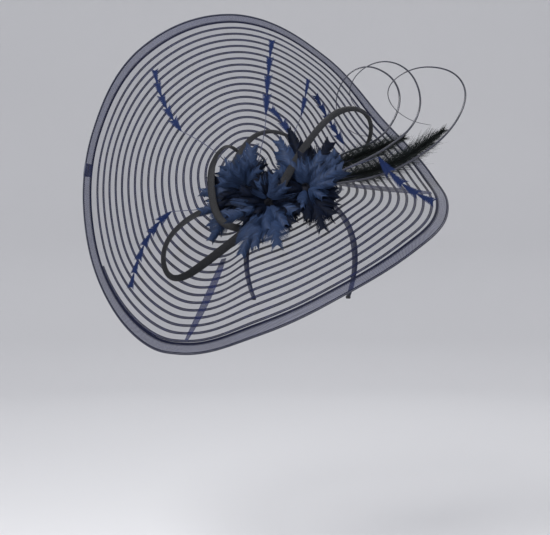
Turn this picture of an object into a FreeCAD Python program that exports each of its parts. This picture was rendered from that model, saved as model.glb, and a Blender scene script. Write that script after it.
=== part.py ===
import FreeCAD, Part
import math
import os

# Crinoline saucer headpiece on a satin headband, trimmed with feather flowers, sinamay loops,
# arrow-cut feathers, plumes and curled quills.  Millimetres, +Z up.  The wearer faces -Y and
# the wearer's right is -X.  The origin is midway between the headband's two tips.

V = FreeCAD.Vector

# ---- driving dimensions -------------------------------------------------------------------
BRIM_RADIUS = 240.0        # flat radius of the crinoline disc
BAND_WIDTH = 13.0          # wide edge braid
BRAID_THICKNESS = 1.0      # two layers of braid where the turns overlap
HUB_RADIUS = 12.0          # gathered start of the spiral braid
WIRE_RADIUS = 0.9          # covered edge wire
TURN = 30.0                # the trimmings are laid out facing 30 degrees to the wearer's right

HEAD_HALF_WIDTH = 76.0     # inside of the headband at the crown arc
CROWN_ARC_HEIGHT = 53.0    # height of the crown arc's centre above the tips
TIP_HALF_GAP = 66.0        # inside half distance between the two tips
HEADBAND_WIDTH = 12.0
TIP_WIDTH = 7.0
CORE_THICKNESS = 1.0       # sprung steel strip
CORE_WIDTH = 7.0
WRAP_THICKNESS = 1.0       # satin ribbon each side of the strip
ARM_START = 14.0           # the flexing arms start this far (degrees) above the horizontal
JOINT_GAP = 0.9            # slit at each arm's flexing root

QUILL_RADIUS = 1.0
STEM_RADIUS = 0.7
PETAL_THICKNESS = 0.5
LOOP_THICKNESS = 1.0
VANE_THICKNESS = 1.2
PLUME_THICKNESS = 5.0      # the barbs fluff out this far
PLUME_STEM_RADIUS = 1.0

# ---- the trimming frame -------------------------------------------------------------------
# Places on the brim and its trimmings are (across, up, forward) as seen by someone who stands
# 30 degrees to the wearer's right.

def at(across, up, forward):
    c = math.cos(math.radians(TURN))
    s = math.sin(math.radians(TURN))
    return V(c * across - s * forward, -s * across - c * forward, up)


def bearing(heading, lean):
    """Unit vector: heading is anticlockwise in the facing plane, lean is towards the viewer."""
    h = math.radians(heading)
    e = math.radians(lean)
    return at(math.cos(e) * math.cos(h), math.cos(e) * math.sin(h), math.sin(e))


FACING = at(0, 0, 1)
BRIM_CENTRE = at(-64, 153, 30)
HUB_NORMAL = bearing(70, 45)   # the way the braid's start faces

# ---- the brim's shape ---------------------------------------------------------------------
# A flat disc, creased along two radii and thrown back between them.  Each spoke is
# (angle on the flat disc, heading swing near the centre, near the rim, lean near the centre,
# near the rim), in degrees.
SPOKES = [
    (0, -5, 5, -20, -15),        # right crease
    (30, -10, 0, -40, -35),      # upper right, thrown back
    (60, -5, 5, -30, -45),       # top right, thrown back most
    (90, 5, 10, -25, -30),       # top
    (120, 10, 10, -30, -20),     # upper left, where it stands out again
    (150, 20, 5, -20, -35),
    (180, 25, 10, -10, -35),     # left edge rolls back
    (205, 20, 10, 10, -30),
    (225, 20, 10, 15, -5),       # lower left corner
    (240, 20, 0, 30, 5),         # lower left crease
    (265, 10, 5, 50, 25),
    (290, 20, 10, 45, 40),       # comes forward over the forehead
    (315, 25, 10, 30, 30),
    (340, 10, 10, 0, 5),         # turns under to the right crease
]
SPOKE_STEPS = 24


def spoke_value(angle, column):
    """Smooth periodic curve through one column of the spokes (cubic Hermite)."""
    count = len(SPOKES)
    angle = angle % 360.0
    k = max(i for i in range(count) if SPOKES[i][0] <= angle)

    def key(i):
        return SPOKES[i % count][0] + 360.0 * (i // count)

    def value(i):
        return float(SPOKES[i % count][column])

    def slope(i):
        before = key(i) - key(i - 1)
        after = key(i + 1) - key(i)
        rise = (value(i) - value(i - 1)) / before * after
        fall = (value(i + 1) - value(i)) / after * before
        return (rise + fall) / (before + after)

    span = key(k + 1) - key(k)
    t = (angle - key(k)) / span
    return ((2 * t**3 - 3 * t**2 + 1) * value(k) + (t**3 - 2 * t**2 + t) * span * slope(k)
            + (3 * t**2 - 2 * t**3) * value(k + 1) + (t**3 - t**2) * span * slope(k + 1))


def spoke_points(angle, radii):
    """Points along one spoke at the given flat radii."""
    swing_in, swing_out, lean_in, lean_out = [spoke_value(angle, c) for c in (1, 2, 3, 4)]
    step = BRIM_RADIUS / SPOKE_STEPS
    points = [BRIM_CENTRE]
    for k in range(SPOKE_STEPS + 1):
        t = min((k + 0.5) / SPOKE_STEPS, 1.0)
        heading = angle + swing_in + (swing_out - swing_in) * t
        lean = lean_in + (lean_out - lean_in) * t
        points.append(points[-1] + bearing(heading, lean) * step)
    places = []
    for radius in radii:
        k = min(int(radius / step), SPOKE_STEPS)
        f = radius / step - k
        places.append(points[k] * (1 - f) + points[k + 1] * f)
    return places


def brim_frame(angle, radii):
    """Points on the brim with the unit normal that faces forward at each."""
    here = spoke_points(angle, radii)
    ahead = spoke_points(angle + 1.5, radii)
    behind = spoke_points(angle - 1.5, radii)
    outer = spoke_points(angle, [r + 1.0 for r in radii])
    frame = []
    for p, a, b, o in zip(here, ahead, behind, outer):
        normal = (o - p).cross(a - b)
        normal.normalize()
        frame.append((p, normal))
    return frame


# ---- builders -----------------------------------------------------------------------------

def side_face(first, second, closed):
    """A surface that is straight between two edges and a smooth cubic along them."""
    count = len(first)
    degree = min(3, count - 1)
    if closed:
        knots = list(range(count + 1))
        mults = [1] * (count + 1)
    else:
        inner = count - degree - 1
        knots = list(range(inner + 2))
        mults = [degree + 1] + [1] * inner + [degree + 1]
    surface = Part.BSplineSurface()
    surface.buildFromPolesMultsKnots([first, second], [2, 2], mults, [0.0, 1.0],
                                     [float(k) for k in knots], False, closed, 1, degree)
    return surface.toShape()


def loft(sections, closed=False):
    """A closed solid whose sections are polygons; the sections steer it like a control cage."""
    corners = len(sections[0])
    faces = []
    for i in range(corners):
        first = [s[i] for s in sections]
        second = [s[(i + 1) % corners] for s in sections]
        faces.append(side_face(first, second, closed))
    if not closed:
        for s in (sections[0], sections[-1]):
            faces.append(Part.Face(Part.makePolygon(list(s) + [s[0]])))
    shell = Part.makeShell(faces)
    shell.sewShape()
    solid = Part.makeSolid(shell)
    if solid.Volume < 0:
        solid.reverse()
    return solid


def ring_plate(inner, outer, count, thickness, angles):
    """A closed thin plate that follows the brim between two flat radii."""
    radii = [inner + (outer - inner) * k / (count - 1) for k in range(count)]
    sections = []
    for angle in angles:
        frame = brim_frame(angle, radii)
        front = [p + n * (thickness / 2) for p, n in frame]
        back = [p - n * (thickness / 2) for p, n in frame]
        sections.append(front + back[::-1])
    return loft(sections, True)


def ring_strip(inner, outer, low, high, angles, closed):
    """A strip along the brim; low and high are its heights over the brim's middle."""
    sections = []
    for angle in angles:
        (p, n), (q, _) = brim_frame(angle, [inner, outer])
        sections.append([p + n * high, q + n * high, q + n * low, p + n * low])
    return loft(sections, closed)


def tangents(points, closed=False):
    last = len(points) - 1
    result = []
    for k in range(len(points)):
        if closed:
            t = points[(k + 1) % len(points)] - points[k - 1]
        else:
            t = points[min(k + 1, last)] - points[max(k - 1, 0)]
        result.append(t.normalize())
    return result


def rod(points, radii, closed=False):
    """A hexagonal rod through the points; radii are one value or (root, tip)."""
    root, tip = radii if isinstance(radii, tuple) else (radii, radii)
    side = FACING
    sections = []
    for k, (p, t) in enumerate(zip(points, tangents(points, closed))):
        side = side - t * side.dot(t)
        side.normalize()
        other = t.cross(side)
        r = root + (tip - root) * k / (len(points) - 1)
        angles = [math.radians(60 * i) for i in range(6)]
        sections.append([p + side * (r * math.cos(a)) + other * (r * math.sin(a)) for a in angles])
    return loft(sections, closed)


def strip(points, widths, thickness, cup=0.0):
    """A flat strip through the points, turned to face forward; cup bends its edges back."""
    sections = []
    for p, t, w in zip(points, tangents(points), widths):
        across = t.cross(FACING)
        across.normalize()
        normal = across.cross(t)
        h = thickness / 2
        e = h * 0.4
        ring = []
        for x, z in ((0.5, e), (0.25, h), (-0.25, h), (-0.5, e),
                     (-0.5, -e), (-0.25, -h), (0.25, -h), (0.5, -e)):
            lift = z - cup * w * (2 * x) ** 2
            ring.append(p + across * (w * x) + normal * lift)
        sections.append(ring)
    return loft(sections)


def save(name, shapes):
    solids = []
    for shape in shapes:
        solids.extend(shape.Solids)
    for solid in solids:
        if not solid.isValid() or solid.Volume <= 0:
            print("bad solid in", name, solid.Volume)
    result = solids[0] if len(solids) == 1 else Part.makeCompound(solids)
    result.exportStep("parts/" + name + ".step")
    print(name, len(solids), round(sum(s.Volume for s in solids), 1))


# ---- brim, edge band and wire -------------------------------------------------------------
JOIN_ANGLE = 162.0         # where the edge braid and the wire start and end
RIM_SECTIONS = 72
SEAM_GAP = 0.1             # between parts that are sewn edge to edge
FERRULE_WALL = 0.4         # crimped tube over the wire's butted ends
TAB_THICKNESS = 0.5        # extra braid over the edge band's join
KNOT_GAP = 1.5             # the start knot is this much smaller than the brim's middle hole
KNOT_FLATNESS = 0.6


def make_brim():
    full = [360.0 * k / RIM_SECTIONS for k in range(RIM_SECTIONS)]
    inner = BRIM_RADIUS - BAND_WIDTH
    half = BRAID_THICKNESS / 2
    save("brim_braid", [ring_plate(HUB_RADIUS, inner - SEAM_GAP, 10, BRAID_THICKNESS, full)])
    save("edge_band", [ring_strip(inner + SEAM_GAP, BRIM_RADIUS, -half, half, full, True)])

    wire_radius = BRIM_RADIUS + WIRE_RADIUS + SEAM_GAP
    path = [spoke_points(a, [wire_radius])[0] for a in full]
    save("edge_wire", [rod(path, WIRE_RADIUS, True)])

    sleeve = [spoke_points(JOIN_ANGLE + d, [wire_radius])[0] for d in (-2.1, -0.7, 0.7, 2.1)]
    save("wire_ferrule", [rod(sleeve, WIRE_RADIUS + FERRULE_WALL)])

    near_join = [JOIN_ANGLE + d for d in (-1.5, -0.5, 0.5, 1.5)]
    under = half + SEAM_GAP
    tab = ring_strip(inner, BRIM_RADIUS, under, under + TAB_THICKNESS, near_join, False)
    save("band_join_tab", [tab])

    hub = Part.makeSphere(HUB_RADIUS - KNOT_GAP)
    squash = FreeCAD.Matrix()
    squash.scale(1.0, 1.0, KNOT_FLATNESS)
    hub = hub.transformGeometry(squash)
    hub.Placement = FreeCAD.Placement(BRIM_CENTRE, FreeCAD.Rotation(V(0, 0, 1), HUB_NORMAL))
    save("braid_start_knot", [hub])


# ---- headband -----------------------------------------------------------------------------
TIP_LENGTH = 4.0           # soft cap on each arm's end
TIP_ROUND = 1.4
TIP_PROUD = 0.5            # the cap stands this much proud of the satin on each side
BOW_DROP = 14.0            # each arm is widest this far below the crown arc's centre
BOW_IN = 0.4               # and stands this much inside the crown arc there
ARM_CORE_WIDTH = 5.6
TAPER_TOP = 63.0           # the arms narrow from this height down to the tips

def arch_region(inner, outer, start, end):
    """Planar region of the crown arc between two radii, from start to end degrees."""
    c = V(0, 0, CROWN_ARC_HEIGHT)

    def place(radius, angle):
        a = math.radians(angle)
        return c + V(radius * math.cos(a), 0, radius * math.sin(a))

    middle = (start + end) / 2
    edges = [
        Part.Arc(place(outer, start), place(outer, middle), place(outer, end)).toShape(),
        Part.LineSegment(place(outer, end), place(inner, end)).toShape(),
        Part.Arc(place(inner, end), place(inner, middle), place(inner, start)).toShape(),
        Part.LineSegment(place(inner, start), place(outer, start)).toShape(),
    ]
    return Part.Face(Part.Wire(edges))


def arm_region(side, low, high):
    """Side view of one arm: from the crown arc down to the tip, curving in towards it."""
    a = math.radians(ARM_START)
    c = V(0, 0, CROWN_ARC_HEIGHT)
    out = V(side * math.cos(a), 0, math.sin(a))
    down = V(side * math.sin(a), 0, -math.cos(a))
    top_in = c + out * (HEAD_HALF_WIDTH + low) + down * JOINT_GAP
    top_out = c + out * (HEAD_HALF_WIDTH + high) + down * JOINT_GAP
    tip_in = V(side * (TIP_HALF_GAP + low), 0, TIP_LENGTH)
    tip_out = V(side * (TIP_HALF_GAP + high), 0, TIP_LENGTH)
    bow = HEAD_HALF_WIDTH - BOW_IN
    bow_in = V(side * (bow + low), 0, CROWN_ARC_HEIGHT - BOW_DROP)
    bow_out = V(side * (bow + high), 0, CROWN_ARC_HEIGHT - BOW_DROP)
    edges = [
        Part.LineSegment(top_in, top_out).toShape(),
        Part.Arc(top_out, bow_out, tip_out).toShape(),
        Part.LineSegment(tip_out, tip_in).toShape(),
        Part.Arc(tip_in, bow_in, top_in).toShape(),
    ]
    return Part.Face(Part.Wire(edges))


def widened(face, width):
    return face.extrude(V(0, width, 0)).translated(V(0, -width / 2, 0))


def taper_cutter():
    """Two wedges that narrow the arms from the full width down to the tips."""
    reach = 2 * HEAD_HALF_WIDTH
    wedges = []
    for side in (-1, 1):
        corner = [V(-reach, side * TIP_WIDTH / 2, 0),
                  V(-reach, side * HEADBAND_WIDTH / 2, TAPER_TOP),
                  V(-reach, side * HEADBAND_WIDTH, TAPER_TOP),
                  V(-reach, side * HEADBAND_WIDTH, 0)]
        outline = Part.makePolygon(corner + [corner[0]])
        wedges.append(Part.Face(outline).extrude(V(2 * reach, 0, 0)))
    return wedges


def make_headband():
    low = WRAP_THICKNESS
    high = WRAP_THICKNESS + CORE_THICKNESS
    total = 2 * WRAP_THICKNESS + CORE_THICKNESS
    r = HEAD_HALF_WIDTH
    start, end = ARM_START, 180 - ARM_START
    core = widened(arch_region(r + low, r + high, start, end), CORE_WIDTH)
    wrap = widened(arch_region(r, r + total, start, end), HEADBAND_WIDTH).cut(core)
    save("headband_crown_core", [core])
    save("headband_crown_satin", [wrap])
    for side, name in ((-1, "right"), (1, "left")):
        core = widened(arm_region(side, low, high), ARM_CORE_WIDTH)
        wrap = widened(arm_region(side, 0, total), HEADBAND_WIDTH)
        for wedge in taper_cutter():
            wrap = wrap.cut(wedge)
        wrap = wrap.cut(core)
        save("headband_arm_core_" + name, [core])
        save("headband_arm_satin_" + name, [wrap])
        depth = total + 2 * TIP_PROUD
        tip = Part.makeBox(depth, TIP_WIDTH, TIP_LENGTH)
        tip.translate(V(-depth / 2, -TIP_WIDTH / 2, 0))
        tip = tip.makeFillet(TIP_ROUND, tip.Edges)
        tip.translate(V(side * (TIP_HALF_GAP + total / 2), 0, 0))
        save("headband_tip_" + name, [tip])


# ---- base under the trimmings -------------------------------------------------------------
BASE_ANGLE = 124.0         # where the base sits on the crown arc, measured from the left side
BASE_HALF_LENGTH = 34.0
BASE_HALF_WIDTH = 25.0
BASE_THICKNESS = 2.5
PAD_THICKNESS = 2.0
GLUE_GAP = 0.2             # between layers that are glued together
STAND_FOOT = (15.0, 12.0)  # half length and half width of the brim stand's foot
STAND_HEAD = 8.0
STAND_HEAD_DROP = 8.5      # the stand stops this far under the brim's middle


def base_frame():
    a = math.radians(BASE_ANGLE)
    out = V(math.cos(a), 0, math.sin(a))
    seat = V(0, 0, CROWN_ARC_HEIGHT) + out * (HEAD_HALF_WIDTH + 2 * WRAP_THICKNESS + CORE_THICKNESS)
    return seat, out


def oval(seat, out, half_length, half_width):
    ellipse = Part.Ellipse(V(0, 0, 0), half_length, half_width)
    wire = Part.Wire([ellipse.toShape()])
    wire.Placement = FreeCAD.Placement(seat, FreeCAD.Rotation(V(0, 0, 1), out))
    return wire


def make_base():
    seat, out = base_frame()
    lining = Part.Face(oval(seat + out * GLUE_GAP, out, BASE_HALF_LENGTH, BASE_HALF_WIDTH))
    save("base_lining", [lining.extrude(out * PAD_THICKNESS)])
    top = seat + out * (2 * GLUE_GAP + PAD_THICKNESS)
    buckram = Part.Face(oval(top, out, BASE_HALF_LENGTH + 1, BASE_HALF_WIDTH + 1))
    save("base_disc", [buckram.extrude(out * BASE_THICKNESS)])
    foot = top + out * (BASE_THICKNESS + GLUE_GAP)
    head = BRIM_CENTRE - HUB_NORMAL * STAND_HEAD_DROP
    lower = oval(foot, out, *STAND_FOOT)
    upper = oval(head, HUB_NORMAL, STAND_HEAD, STAND_HEAD)
    save("brim_stand", [Part.makeLoft([lower, upper], True, True)])


# ---- feather flowers ----------------------------------------------------------------------
# Each petal is (direction, reach, width, forward offset at the root, at the tip).  Directions
# are anticlockwise from the viewer's right.
LEFT_HEART = (-66, 129, 72)
CENTRE_HEART = (-41, 113, 104)
RIGHT_HEART = (2, 131, 94)

PETALS = {
    "flower_left_back_petals": (LEFT_HEART, [
        (150, 44, 18, -5, -9), (180, 58, 16, -5, -6), (205, 64, 16, -5, -4),
        (228, 62, 17, -4, 2)]),
    "flower_left_front_petals": (LEFT_HEART, [
        (84, 58, 22, 2, 3), (126, 42, 20, 3, 8), (165, 36, 18, 4, 14), (56, 42, 16, 6, 14)]),
    "flower_centre_back_petals": (CENTRE_HEART, [
        (204, 52, 24, -4, 6), (238, 66, 17, 4, 25), (262, 60, 16, 0, 46),
        (288, 56, 20, 2, 52)]),
    "flower_centre_front_petals": (CENTRE_HEART, [
        (338, 32, 24, 8, 22), (150, 34, 17, 6, 20), (104, 34, 16, 6, 12)]),
    "flower_right_back_petals": (RIGHT_HEART, [
        (62, 68, 20, -3, -23), (86, 56, 15, -6, -22), (108, 70, 17, -3, -23),
        (38, 56, 15, -6.5, -19)]),
    "flower_right_front_petals": (RIGHT_HEART, [
        (19, 50, 24, 3, 10), (342, 40, 20, 2, 16), (306, 54, 24, 4, 40), (276, 46, 18, 8, 42)]),
}
HEART_RADIUS = 5.0
HEART_LENGTH = 14.0
HEART_SINK = 8.0           # this much of each heart stands behind its petals' roots
PETAL_ARCH = 3.0           # each petal bows forward this much
PETAL_CUP = 0.06           # and its edges bend back by this share of its width


def petal(heart, direction, reach, width, root_offset, tip_offset):
    a = math.radians(direction)
    across, up, forward = heart
    start = HEART_RADIUS + 2.0
    points = []
    for t in (0.0, 0.25, 0.5, 0.75, 1.0):
        r = start + (reach - start) * t
        arch = PETAL_ARCH * math.sin(math.pi * t)
        offset = root_offset + (tip_offset - root_offset) * t + arch
        points.append(at(across + r * math.cos(a), up + r * math.sin(a), forward + offset))
    widths = [width * k for k in (0.14, 0.62, 1.0, 0.92, 0.30)]
    return strip(points, widths, PETAL_THICKNESS, PETAL_CUP)


COLLAR_RADIUS = 6.8
COLLARS = {                # thread-bound stubs that hold the stems, behind the flower hearts
    "stem_collar_left": ((-66, 131, 54), 9.0),
    "stem_collar_right": ((5, 133, 68), 17.0),
}


def make_flowers():
    for name, (heart, petals) in PETALS.items():
        save(name, [petal(heart, *p) for p in petals])
    for name, heart in (("left", LEFT_HEART), ("centre", CENTRE_HEART), ("right", RIGHT_HEART)):
        back = at(*heart) - FACING * HEART_SINK
        core = Part.makeCylinder(HEART_RADIUS, HEART_LENGTH, back, FACING)
        save("flower_" + name + "_heart", [core.makeFillet(2.0, core.Edges)])
    for name, (place, length) in COLLARS.items():
        collar = Part.makeCylinder(COLLAR_RADIUS, length, at(*place), FACING)
        save(name, [collar.makeFillet(2.0, collar.Edges)])


# ---- sinamay loops ------------------------------------------------------------------------
# Bias strips, bent flat; each is (width, points).
LOOPS = {
    "loop_lower_left": (9.0, [
        (-57, 89, 112), (-74, 74, 106), (-114, 44, 84), (-140, 25, 74), (-158, 26, 68),
        (-166, 45, 62), (-163, 68, 58), (-147, 89, 56), (-126, 103, 56)]),
    "loop_left": (8.0, [
        (-74, 84, 98), (-92, 86, 90), (-104, 106, 82), (-108, 134, 77), (-108, 160, 64),
        (-99, 181, 42), (-88, 187, 28), (-78, 180, 18)]),
    "loop_top": (8.0, [
        (-86, 150, 62), (-79, 168, 56), (-66, 190, 43), (-50, 203, 28), (-30, 205, 16)]),
    "loop_upper_right": (9.0, [
        (-30, 122, 130), (-16, 150, 102), (4, 184, 80), (26, 214, 42), (48, 232, 8),
        (68, 236, -10), (83, 228, -18), (88, 210, -16), (82, 190, -6), (72, 176, 6)]),
}


def make_loops():
    for name, (width, route) in LOOPS.items():
        points = [at(*p) for p in route]
        save(name, [strip(points, [width] * len(points), LOOP_THICKNESS)])


# ---- arrow-cut feathers -------------------------------------------------------------------
# Each feather is (stem points, vane points, vane width).
ARROWS = {
    "arrow_feather_1": ([(-71, 138, 60), (-92, 172, 36), (-118, 190, 17), (-147, 205, 6)],
                        [(-147, 205, 6), (-169, 233, -8), (-178, 259, -16), (-182, 283, -22)], 8),
    "arrow_feather_2": ([(-60, 138, 60), (-49, 176, 50), (-44, 205, 34), (-44, 224, 14)],
                        [(-44, 224, 14), (-43, 250, 4), (-42, 276, -6), (-37, 321, -28)], 8),
    "arrow_feather_3": ([(-73, 125, 60), (-94, 106, 54), (-128, 108, 42), (-157, 106, 32)],
                        [(-157, 106, 32), (-184, 87, 26), (-196, 60, 30), (-205, 16, 39)], 7),
    "arrow_feather_4": ([(-37, 121, 88), (-26, 160, 78), (-14, 190, 54), (-2, 220, 22)],
                        [(-2, 220, 22), (4, 246, 0), (8, 271, -18)], 5),
    "arrow_feather_5": ([(9, 140, 72), (34, 160, 24), (55, 178, -20), (53, 193, -34)],
                        [(53, 193, -34), (32, 227, -36), (18, 253, -32)], 8),
    "arrow_feather_6": ([(13, 136, 85), (40, 150, 74), (62, 160, 70), (88, 168, 68)],
                        [(88, 168, 68), (100, 149, 70), (116, 130, 76), (149, 115, 86)], 10),
    "arrow_feather_7": ([(3, 141, 76), (-2, 164, 52), (-6, 184, 34), (-12, 195, 24)],
                        [(-12, 195, 24), (-21, 213, 18), (-37, 231, 14)], 7),
}


def make_arrows():
    for name, (stem, vane, width) in ARROWS.items():
        save(name + "_stem", [rod([at(*p) for p in stem], STEM_RADIUS)])
        points = [at(*p) for p in vane]
        widths = [width * 0.4] + [width] * (len(points) - 2) + [width * 0.3]
        save(name + "_vane", [strip(points, widths, VANE_THICKNESS)])


# ---- plumes and curled quills -------------------------------------------------------------
PLUMES = {
    "plume_lower": ([(13, 135, 74), (32, 140, 62), (52, 146, 52), (70, 149, 46)],
                    [(70, 149, 46), (100, 158, 36), (132, 174, 24), (172, 206, 10)], 13),
    "plume_upper": ([(12, 138, 70), (30, 154, 48), (48, 164, 30), (62, 170, 26)],
                    [(62, 170, 26), (92, 181, 18), (124, 197, 6)], 12),
}
QUILLS = {
    "curled_quill_1": [
        (11, 139, 77), (24, 158, 50), (42, 174, 24), (64, 182, 14), (87, 191, 9), (105, 206, 6),
        (118, 230, 2), (121, 251, -1), (113, 270, -4), (99, 281, -7), (82, 288, -10),
        (63, 283, -13), (50, 270, -16), (42, 250, -19), (43, 231, -22), (54, 212, -25),
        (72, 201, -28), (92, 203, -31)],
    "curled_quill_2": [
        (13, 137, 80), (46, 153, 62), (82, 170, 48), (102, 183, 38), (120, 196, 32),
        (134, 211, 28), (142, 230, 26), (142, 249, 25), (134, 269, 26), (120, 282, 26),
        (103, 288, 24), (85, 286, 21), (68, 276, 18), (58, 261, 17), (56, 245, 16), (66, 229, 16),
        (88, 220, 14)],
    "curled_quill_3": [
        (14, 134, 81), (50, 138, 70), (88, 145, 60), (120, 160, 48), (147, 177, 40),
        (166, 192, 36), (182, 210, 33), (193, 230, 30), (197, 248, 28), (192, 264, 26),
        (179, 276, 24), (160, 281, 22), (140, 281, 20), (121, 274, 18), (107, 263, 15),
        (102, 250, 13), (108, 235, 11), (122, 223, 8), (139, 215, 5), (157, 213, 2)],
}


def make_plumes():
    for name, (stem, vane, width) in PLUMES.items():
        save(name + "_stem", [rod([at(*p) for p in stem], PLUME_STEM_RADIUS)])
        points = [at(*p) for p in vane]
        widths = [width * 0.5] + [width] * (len(points) - 2) + [width * 0.5]
        save(name + "_barbs", [strip(points, widths, PLUME_THICKNESS)])
    for name, route in QUILLS.items():
        save(name, [rod([at(*p) for p in route], (QUILL_RADIUS, QUILL_RADIUS * 0.5))])


os.makedirs("parts", exist_ok=True)
make_brim()
make_headband()
make_base()
make_flowers()
make_loops()
make_arrows()
make_plumes()
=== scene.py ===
import bpy
import math
import numpy as np
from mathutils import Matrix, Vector


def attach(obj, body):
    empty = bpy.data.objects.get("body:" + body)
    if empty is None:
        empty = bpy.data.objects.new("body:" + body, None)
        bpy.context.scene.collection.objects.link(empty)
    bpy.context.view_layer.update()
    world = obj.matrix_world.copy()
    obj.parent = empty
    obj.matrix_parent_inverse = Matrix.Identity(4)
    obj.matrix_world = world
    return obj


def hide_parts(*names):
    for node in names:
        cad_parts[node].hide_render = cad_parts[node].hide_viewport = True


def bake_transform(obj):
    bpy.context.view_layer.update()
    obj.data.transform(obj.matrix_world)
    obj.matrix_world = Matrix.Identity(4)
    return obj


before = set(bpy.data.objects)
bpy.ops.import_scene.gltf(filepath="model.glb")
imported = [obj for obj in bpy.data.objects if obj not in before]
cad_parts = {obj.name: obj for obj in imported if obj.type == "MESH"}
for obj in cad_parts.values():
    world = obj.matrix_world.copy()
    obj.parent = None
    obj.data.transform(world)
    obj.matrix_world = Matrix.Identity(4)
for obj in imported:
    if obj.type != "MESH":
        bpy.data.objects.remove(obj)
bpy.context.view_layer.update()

# ---- the trimming frame: (across, up, forward) in millimetres, facing 30 degrees to the right --
TURN = math.radians(30)
TO_ROW = np.array([[math.cos(TURN), -math.sin(TURN), 0], [0, 0, 1],
                   [-math.sin(TURN), -math.cos(TURN), 0]]) / 1000
FACING = np.array([0.0, 0.0, 1.0])
BRIM_CENTRE = np.array([-64.0, 153.0, 30.0])
BRIM_RADIUS, BAND_WIDTH, HUB_RADIUS, WIRE_RADIUS = 240.0, 13.0, 12.0, 0.9
BRAID_PITCH, BRAID_OVERLAP = 10.0, 3.3
SPIRAL_START = 195.0        # flat angle where the last turn goes under the edge band
JOIN_ANGLE = 162.0
INNER = BRIM_RADIUS - BAND_WIDTH
SPOKE_STEPS = 96            # straight steps along one spoke
NEARBY = 1.5                # degrees to each side, for the slope of the disc

# Each spoke: angle on the flat disc, heading swing near the centre and near the rim, lean near
# the centre and near the rim, in degrees.
SPOKES = np.array([
    (0, -5, 5, -20, -15),
    (30, -10, 0, -40, -35),
    (60, -5, 5, -30, -45),
    (90, 5, 10, -25, -30),
    (120, 10, 10, -30, -20),
    (150, 20, 5, -20, -35),
    (180, 25, 10, -10, -35),
    (205, 20, 10, 10, -30),
    (225, 20, 10, 15, -5),
    (240, 20, 0, 30, 5),
    (265, 10, 5, 50, 25),
    (290, 20, 10, 45, 40),
    (315, 25, 10, 30, 30),
    (340, 10, 10, 0, 5),
], float)


# ---- curves and frames --------------------------------------------------------------------
def unit(v):
    return v / np.maximum(np.linalg.norm(v, axis=-1, keepdims=True), 1e-9)


def curve(points, count):
    """A smooth clamped cubic steered by the points, sampled at even lengths."""
    p = np.array(points, float)
    degree = min(3, len(p) - 1)
    knots = np.concatenate([np.zeros(degree), np.linspace(0, 1, len(p) - degree + 1),
                            np.ones(degree)])
    t = np.linspace(0, 1 - 1e-9, 6 * count)[:, None]
    basis = ((knots[:-1] <= t) & (t < knots[1:])).astype(float)
    for k in range(1, degree + 1):
        m = len(knots) - k - 1
        rise, fall = knots[k:k + m] - knots[:m], knots[k + 1:k + 1 + m] - knots[1:1 + m]
        up = np.where(rise > 0, (t - knots[:m]) / np.where(rise > 0, rise, 1), 0)
        down = np.where(fall > 0, (knots[k + 1:k + 1 + m] - t) / np.where(fall > 0, fall, 1), 0)
        basis = up * basis[:, :m] + down * basis[:, 1:m + 1]
    path = basis @ p
    run = np.concatenate([[0], np.cumsum(np.linalg.norm(np.diff(path, axis=0), axis=1))])
    at = np.linspace(0, run[-1], count)
    return np.stack([np.interp(at, run, path[:, i]) for i in range(3)], 1), run[-1]


def rolled(path, roll):
    """Tangent, side and normal along a path, turned about it by roll degrees."""
    tangent = unit(np.gradient(path, axis=0))
    side = unit(np.cross(tangent, FACING))
    normal = np.cross(side, tangent)
    a = np.radians(roll) * np.ones(len(path))[:, None]
    return tangent, side * np.cos(a) + normal * np.sin(a), normal * np.cos(a) - side * np.sin(a)


def spoke_values(angle):
    keys, table, n = SPOKES[:, 0], SPOKES[:, 1:], len(SPOKES)
    angle = np.mod(angle, 360)
    k = np.searchsorted(keys, angle, side="right") - 1

    def key(i):
        return keys[i % n] + 360 * (i // n)

    def slope(i):
        before, after = (key(i) - key(i - 1))[:, None], (key(i + 1) - key(i))[:, None]
        here = table[i % n]
        rise = (here - table[(i - 1) % n]) / before * after
        fall = (table[(i + 1) % n] - here) / after * before
        return (rise + fall) / (before + after)

    span = (key(k + 1) - key(k))[:, None]
    t = (angle - key(k))[:, None] / span
    return ((2 * t**3 - 3 * t**2 + 1) * table[k] + (t**3 - 2 * t**2 + t) * span * slope(k)
            + (3 * t**2 - 2 * t**3) * table[(k + 1) % n] + (t**3 - t**2) * span * slope(k + 1))


def brim_points(angle, radius):
    """Points of the creased disc at flat angles (degrees) and radii."""
    v = spoke_values(angle)
    t = np.minimum((np.arange(SPOKE_STEPS + 4) + 0.5) / SPOKE_STEPS, 1)[None, :]
    heading = np.radians(angle[:, None] + v[:, 0:1] + (v[:, 1:2] - v[:, 0:1]) * t)
    lean = np.radians(v[:, 2:3] + (v[:, 3:4] - v[:, 2:3]) * t)
    step = np.stack([np.cos(lean) * np.cos(heading), np.cos(lean) * np.sin(heading),
                     np.sin(lean)], 2) * (BRIM_RADIUS / SPOKE_STEPS)
    path = np.concatenate([np.zeros((len(angle), 1, 3)), np.cumsum(step, 1)], 1) + BRIM_CENTRE
    place = radius / (BRIM_RADIUS / SPOKE_STEPS)
    k = place.astype(int)
    f = (place - k)[:, None]
    rows = np.arange(len(angle))
    return path[rows, k] * (1 - f) + path[rows, k + 1] * f


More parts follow.
